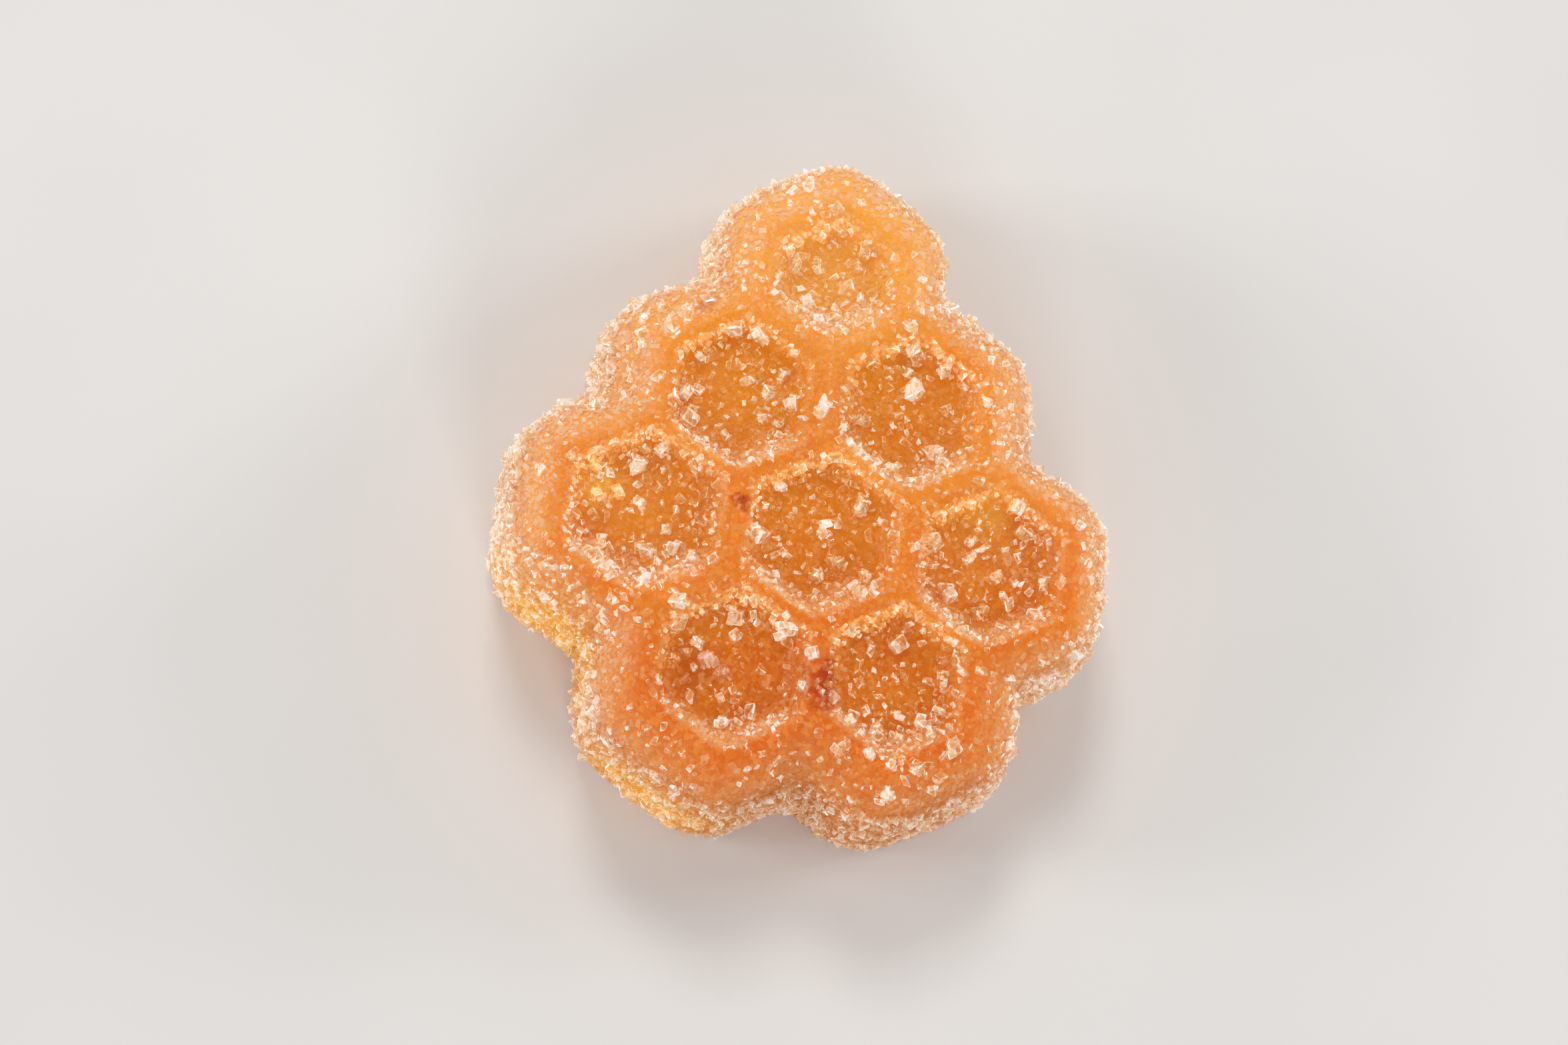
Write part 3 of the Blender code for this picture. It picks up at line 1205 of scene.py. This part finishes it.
@dataclass(frozen=True)
class Palette:
    """One finish's colours: deep at the broad end and golden at the narrow end, partly as painted light, a
    painted glow where light comes through, and in flaws.
    """

    deep: tuple
    golden: tuple
    glow: tuple
    flaw: tuple

    def ground(self, wiring: Wiring, place: Socket, ragged: Socket, effects: Effects) -> Socket:
        """The colour that runs from deep to golden over the sweet, partly as painted light, with its painted
        glows.

        Args:
            wiring: The material's nodes.
            place: Object coordinates.
            ragged: What breaks up the glows' edges.
            effects: The shared node groups.

        Returns:
            The mixed colour.
        """
        drift = wiring.node("ShaderNodeGroup", node_tree=effects.tint_and_light)
        wiring.join(place, drift.inputs["Place"])
        colour = wiring.mix(drift.outputs["Golden"], self.deep, self.golden)
        return effects.marked(wiring, place, ragged, colour, GLOWS, self.glow)


@dataclass(frozen=True)
class JellyFinish:
    """Orange jelly with a weak painted glow, as if lit from inside, with its painted glows and dark flaws,
    and the finest sugar pressed into it, whose paleness is partly painted light.
    """

    palette: Palette = Palette(
        deep=(0.63, 0.130, 0.004),
        golden=(0.77, 0.30, 0.009),
        glow=(0.84, 0.45, 0.03),
        flaw=(0.40, 0.03, 0.004),
    )
    pale: tuple = (0.82, 0.34, 0.06)
    dust_and_light_colour: tuple = (0.84, 0.49, 0.18)
    pit_scale: float = 2200.0
    flake_scale: float = 4200.0
    flake_share: float = 0.5
    flake_rarity: float = 2.0
    dust_uneven: float = 0.8
    dust_least: float = 0.1
    lit_through: float = 0.15
    roughness: float = 0.32
    ior: float = 1.45
    gloss: float = 0.25
    scatter: float = 0.8
    scatter_radius: tuple = (1.0, 0.35, 0.06)
    scatter_depth: float = 4.0 * MM
    bump_strength: float = 0.8
    bump_height: float = 0.12 * MM
    flake_relief: float = 0.6

    def material(self, effects: Effects) -> bpy.types.Material:
        """Makes the material.

        Args:
            effects: The shared node groups.

        Returns:
            The jelly's material.
        """
        made, wiring, shader, place = new_material("orange_jelly")
        pits = wiring.texture("ShaderNodeTexNoise", self.pit_scale, place).outputs[0]
        ground = self.palette.ground(wiring, place, pits, effects)
        chance = wiring.patchwork(self.flake_scale, place)
        rarely = wiring.maths("POWER", chance.outputs[0], self.flake_rarity)
        ground = wiring.mix(wiring.maths("MULTIPLY", rarely, self.flake_share), ground, self.pale)
        # Painted light as well as dust: the jelly is painted paler where the sugar lies white.
        frost_and_painted_light = wiring.node("ShaderNodeAttribute", attribute_name="frost_and_painted_light").outputs["Fac"]
        uneven = wiring.maths("MULTIPLY_ADD", pits, self.dust_uneven, self.dust_least)
        ground = wiring.mix(wiring.maths("MULTIPLY", frost_and_painted_light, uneven), ground, self.dust_and_light_colour)
        colour = effects.marked(wiring, place, pits, ground, DARK_MARKS, self.palette.flaw)
        bump = wiring.node("ShaderNodeBump")
        relief = wiring.maths("MULTIPLY_ADD", chance.outputs[1], self.flake_relief, pits)
        parts = {"Strength": self.bump_strength, "Distance": self.bump_height, "Height": relief}
        wiring.fill(bump, parts)
        parts = {
            "Base Color": colour,
            # Painted glow: the jelly gives off its own colour weakly, as light from inside.
            "Emission Color": colour,
            "Emission Strength": self.lit_through,
            "Roughness": self.roughness,
            "IOR": self.ior,
            "Specular IOR Level": self.gloss,
            "Subsurface Weight": self.scatter,
            "Subsurface Radius": self.scatter_radius,
            "Subsurface Scale": self.scatter_depth,
            "Normal": bump.outputs[0],
        }
        wiring.fill(shader, parts)
        return made


@dataclass(frozen=True)
class SugarFinish:
    """Fine sugar, wet through: the jelly shows through it, except where the sugar lies thick and white, and
    where it is painted pale as light.

    A grain's alpha runs from thin to thick with its whiteness. It counts less for shadows and for the
    faces that point away, so that many grains on top of each other stay bright. The lit colours are a
    painted glow that stands for light that the jelly passes on.
    """

    name: str
    palette: Palette
    pale: tuple
    white: tuple
    lit: tuple
    lit_lee: tuple
    pale_grains: float
    least_white: float
    most_white: float
    roughness: float
    gloss: float
    thin: float
    thick: float
    inner: float
    shadow: float = 0.3
    lit_through: float = 0.3
    golden_share: float = 0.45
    frost_share: float = 0.75
    frost_calm: float = 0.6
    rarity: float = 2.6
    white_rarity: float = 3.0
    uneven_roughness: float = 0.16
    ior: float = 1.5

    def material(self, effects: Effects) -> bpy.types.Material:
        """Makes the material.

        Args:
            effects: The shared node groups.

        Returns:
            The sugar's material.
        """
        made, wiring, shader, place = new_material(self.name)
        tone, frost_and_painted_light, painted_glow = (self.mark(wiring, name) for name in ("tone", "frost_and_painted_light", "painted_glow"))
        white = self.patches(wiring, place, self.whiteness(wiring, tone, frost_and_painted_light))
        ground = self.palette.ground(wiring, place, tone, effects)
        # Painted glow: grains on shaded walls and in the glows are painted golden, as light coming through
        # the jelly.
        ground = wiring.mix(wiring.maths("MULTIPLY", painted_glow, self.golden_share), ground, self.palette.glow)
        grains = wiring.mix(white, ground, self.pale)
        grains = wiring.mix(wiring.maths("POWER", white, self.white_rarity), grains, self.white)
        smoothest = self.roughness - self.uneven_roughness / 2
        cover = self.cover(wiring, wiring.maths("MULTIPLY_ADD", white, self.thick - self.thin, self.thin))
        shaded = wiring.node("ShaderNodeLightPath").outputs["Is Shadow Ray"]
        lighter = wiring.maths("MULTIPLY_ADD", shaded, self.shadow - 1, 1.0)
        behind = wiring.node("ShaderNodeNewGeometry").outputs["Backfacing"]
        front = wiring.maths("MULTIPLY_ADD", behind, self.inner - 1, 1.0)
        parts = {
            "Base Color": effects.marked(wiring, place, tone, grains, DARK_MARKS, self.palette.flaw),
            # Painted glow: the emission stands for light that the jelly passes on, golden on shaded walls
            # and in the glows.
            "Emission Color": wiring.mix(painted_glow, self.lit, self.lit_lee),
            "Emission Strength": self.lit_through,
            "Roughness": wiring.maths("MULTIPLY_ADD", tone, self.uneven_roughness, smoothest),
            "IOR": self.ior,
            "Specular IOR Level": self.gloss,
            "Alpha": wiring.maths("MULTIPLY", cover, wiring.maths("MULTIPLY", lighter, front)),
        }
        wiring.fill(shader, parts)
        return made

    def mark(self, wiring: Wiring, name: str) -> Socket:
        """A number that each grain carries."""
        return wiring.node("ShaderNodeAttribute", attribute_name=name).outputs["Fac"]

    def whiteness(self, wiring: Wiring, tone: Socket, frost_and_painted_light: Socket) -> Socket:
        """How white each grain is: by chance in a few, wherever the sugar lies thick, and where it is
        painted pale as light.

        Args:
            wiring: The material's nodes.
            tone: The grain's own chance number.
            frost_and_painted_light: How thick the sugar lies, and where it is painted pale as light.

        Returns:
            A number from 0 to about 1.
        """
        calm = wiring.maths("MULTIPLY_ADD", frost_and_painted_light, -self.frost_calm * self.pale_grains, self.pale_grains)
        rarely = wiring.maths("MULTIPLY", wiring.maths("POWER", tone, self.rarity), calm)
        uneven = wiring.maths("MULTIPLY_ADD", frost_and_painted_light, self.frost_share, rarely)
        white = wiring.maths("MULTIPLY_ADD", uneven, self.most_white - self.least_white, self.least_white)
        return wiring.maths("MINIMUM", white, 1.0)

    def patches(self, wiring: Wiring, place: Socket, white: Socket) -> Socket:
        """The whiteness within one grain: even in fine sugar."""
        return white

    def cover(self, wiring: Wiring, plain: Socket) -> Socket:
        """How much each grain hides of what lies behind it."""
        return plain


@dataclass(frozen=True)
class ClearSugarFinish(SugarFinish):
    """Larger crystals: clear faces between edges painted white, as frost and as painted highlight."""

    edge_cover: float = 0.28
    edge_white: float = 0.2
    patchy: float = 0.9
    patch_scale: float = 5200.0

    def patches(self, wiring: Wiring, place: Socket, white: Socket) -> Socket:
        """The whiteness within one crystal, in painted patches that stand for the light its faces bend, with
        painted highlights on its edges.

        Args:
            wiring: The material's nodes.
            place: Object coordinates.
            white: How white the crystal is as a whole.

        Returns:
            The whiteness at each place.
        """
        # Painted refraction: patches of whiteness stand for light that the faces bend.
        chance = wiring.patchwork(self.patch_scale, place).outputs[0]
        broken = wiring.maths("MULTIPLY_ADD", chance, self.patchy, -self.patchy / 2)
        # Painted highlight: the crystal's edges are painted whiter.
        edge_highlight = wiring.maths("MULTIPLY_ADD", self.mark(wiring, "edge"), self.edge_white, broken)
        return wiring.maths("MINIMUM", wiring.maths("MAXIMUM", wiring.maths("ADD", white, edge_highlight), 0.0), 1.0)

    def cover(self, wiring: Wiring, plain: Socket) -> Socket:
        """How much each grain hides of what lies behind it: more at its edges, where the painted highlight
        lies.
        """
        edge = self.mark(wiring, "edge")
        return wiring.maths("MINIMUM", wiring.maths("MULTIPLY_ADD", edge, self.edge_cover, plain), 1.0)


FINE_SUGAR = SugarFinish(
    "fine_sugar",
    Palette(
        deep=(0.66, 0.185, 0.013),
        golden=(0.77, 0.33, 0.026),
        glow=(0.88, 0.48, 0.06),
        flaw=(0.42, 0.04, 0.008),
    ),
    pale=(0.85, 0.50, 0.20),
    white=(0.96, 0.85, 0.73),
    lit=(0.14, 0.03, 0.0),
    lit_lee=(0.75, 0.32, 0.02),
    pale_grains=0.5,
    least_white=0.0,
    most_white=0.85,
    roughness=0.25,
    gloss=0.2,
    thin=0.14,
    thick=1.0,
    inner=0.0,
)
CLEAR_SUGAR = ClearSugarFinish(
    "clear_sugar",
    Palette(
        deep=(0.75, 0.28, 0.06),
        golden=(0.85, 0.47, 0.09),
        glow=(0.94, 0.62, 0.16),
        flaw=(0.6, 0.12, 0.04),
    ),
    pale=(0.91, 0.64, 0.32),
    white=(1.0, 0.95, 0.88),
    lit=(0.22, 0.11, 0.04),
    lit_lee=(0.8, 0.44, 0.06),
    pale_grains=0.8,
    least_white=0.03,
    most_white=0.9,
    roughness=0.13,
    gloss=0.8,
    thin=0.12,
    thick=0.85,
    inner=0.4,
)


@dataclass(frozen=True)
class Lamp:
    """One soft square lamp that points at the sweet, with its place in metres and its power in watts."""

    name: str
    place: tuple
    power: float
    colour: tuple = (1.0, 1.0, 1.0)


@dataclass(frozen=True)
class Studio:
    """Pale floor, soft light and the camera at the photograph's angle."""

    lamps: tuple = (
        Lamp("key", (-0.04, 0.34, 0.42), 0.92, (1.0, 0.98, 0.95)),
        Lamp("right", (0.43, 0.14, 0.19), 0.58),
        Lamp("left", (-0.43, 0.04, 0.19), 0.60),
        Lamp("front", (0.08, -0.42, 0.24), 0.50),
    )
    lamp_size: float = 0.14
    world_colour: tuple = (1.0, 0.98, 0.96)
    world_strength: float = 0.44
    floor_size: float = 3.0
    floor_drop: float = 0.02 * MM
    floor_roughness: float = 0.7
    floor_mottle: float = 40.0
    floor_stops: tuple = ((0.3, (0.76, 0.75, 0.74)), (0.7, (0.80, 0.79, 0.78)))
    azimuth: float = math.radians(-32)
    elevation: float = math.radians(79)
    pixels_per_mm: float = 34.7
    image: tuple = (2352, 1568)
    object_pixel: tuple = (1189.0, 782.0)
    scale_height: float = 0.985
    focal: float = 140.0
    sensor: float = 36.0
    middle_height: float = 4.9 * MM
    clip_start: float = 0.01

    def floor(self) -> bpy.types.Object:
        """Adds the pale floor."""
        nothing_selected()
        bpy.ops.mesh.primitive_plane_add(size=self.floor_size, location=(0, 0, -self.floor_drop))
        floor = bpy.context.object
        floor.name = floor.data.name = "studio_floor"
        made, wiring, shader, place = new_material("pale_floor")
        mottle = wiring.texture("ShaderNodeTexNoise", self.floor_mottle, place)
        colour = wiring.ramp(mottle.outputs[0], self.floor_stops)
        wiring.fill(shader, {"Base Color": colour, "Roughness": self.floor_roughness})
        floor.data.materials.append(made)
        return floor

    def light(self, lamp: Lamp) -> None:
        """Adds one lamp."""
        data = bpy.data.lights.new(lamp.name, "AREA")
        data.size = self.lamp_size
        data.energy = lamp.power
        data.color = lamp.colour
        item = bpy.data.objects.new(lamp.name, data)
        item.location = lamp.place
        item.rotation_euler = (-Vector(lamp.place)).to_track_quat("-Z", "Y").to_euler()
        bpy.context.scene.collection.objects.link(item)

    def surroundings(self) -> None:
        """Sets the light from all round, and shows colours as they are."""
        world = bpy.data.worlds.new("studio")
        world.use_nodes = True
        shine = {"Color": (*self.world_colour, 1), "Strength": self.world_strength}
        Wiring(world.node_tree).fill(world.node_tree.nodes["Background"], shine)
        bpy.context.scene.world = world
        bpy.context.scene.view_settings.view_transform = "Standard"

    def camera(self) -> None:
        """Adds the camera, nearly straight above and a little towards the lower left."""
        back = Vector(
            (
                math.sin(self.azimuth) * math.cos(self.elevation),
                -math.cos(self.azimuth) * math.cos(self.elevation),
                math.sin(self.elevation),
            )
        )
        right = Vector((0, 1, 0)).cross(back).normalized()
        up = back.cross(right)
        off = (self.image[0] / 2 - self.object_pixel[0], self.object_pixel[1] - self.image[1] / 2)
        target = (right * off[0] + up * off[1]) * MM / self.pixels_per_mm + back * self.middle_height
        distance = self.image[0] / self.pixels_per_mm * MM * self.focal / self.sensor / self.scale_height
        data = bpy.data.cameras.new("photo_camera")
        data.lens = self.focal
        data.sensor_width = self.sensor
        data.clip_start = self.clip_start
        camera = bpy.data.objects.new("photo_camera", data)
        camera.matrix_world = Matrix.Translation(target + back * distance) @ Matrix(
            (right, up, back)
        ).transposed().to_4x4()
        bpy.context.scene.collection.objects.link(camera)
        bpy.context.scene.camera = camera

    def build(self) -> None:
        """Sets the stage."""
        self.floor()
        for lamp in self.lamps:
            self.light(lamp)
        self.surroundings()
        self.camera()


def dress(item: bpy.types.Object, material: bpy.types.Material) -> None:
    """Gives a finished piece its material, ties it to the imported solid's body and reports it.

    Args:
        item: The piece.
        material: Its finish.
    """
    item.data.materials.clear()
    item.data.materials.append(material)
    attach(item, "root")
    LOG.info("%s: %d faces", item.name, len(item.data.polygons))


def main() -> None:
    """Builds the jelly, the sugar and the studio."""
    logging.basicConfig(level=logging.INFO, format="%(message)s")
    effects = Effects(soft_spot_group(), tint_and_painted_light_group())
    slab = JellySlab()
    jelly, ground = slab.build()
    dress(jelly, JellyFinish().material(effects))
    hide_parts("sweet")
    clear = CLEAR_SUGAR.material(effects)
    fine = FINE_SUGAR.material(effects)
    coarse = CoarseSugar()
    dress(coarse.build(slab, ground, Block(coarse.chamfer)), clear)
    coat = SugarCoat(jelly)
    coat.paint_dust_and_light()
    for kind in SUGAR:
        grains = coat.scatter(kind, Block(kind.chamfer))
        dress(grains, clear if kind.chamfer else fine)
    Studio().build()


if __name__ == "__main__":
    main()
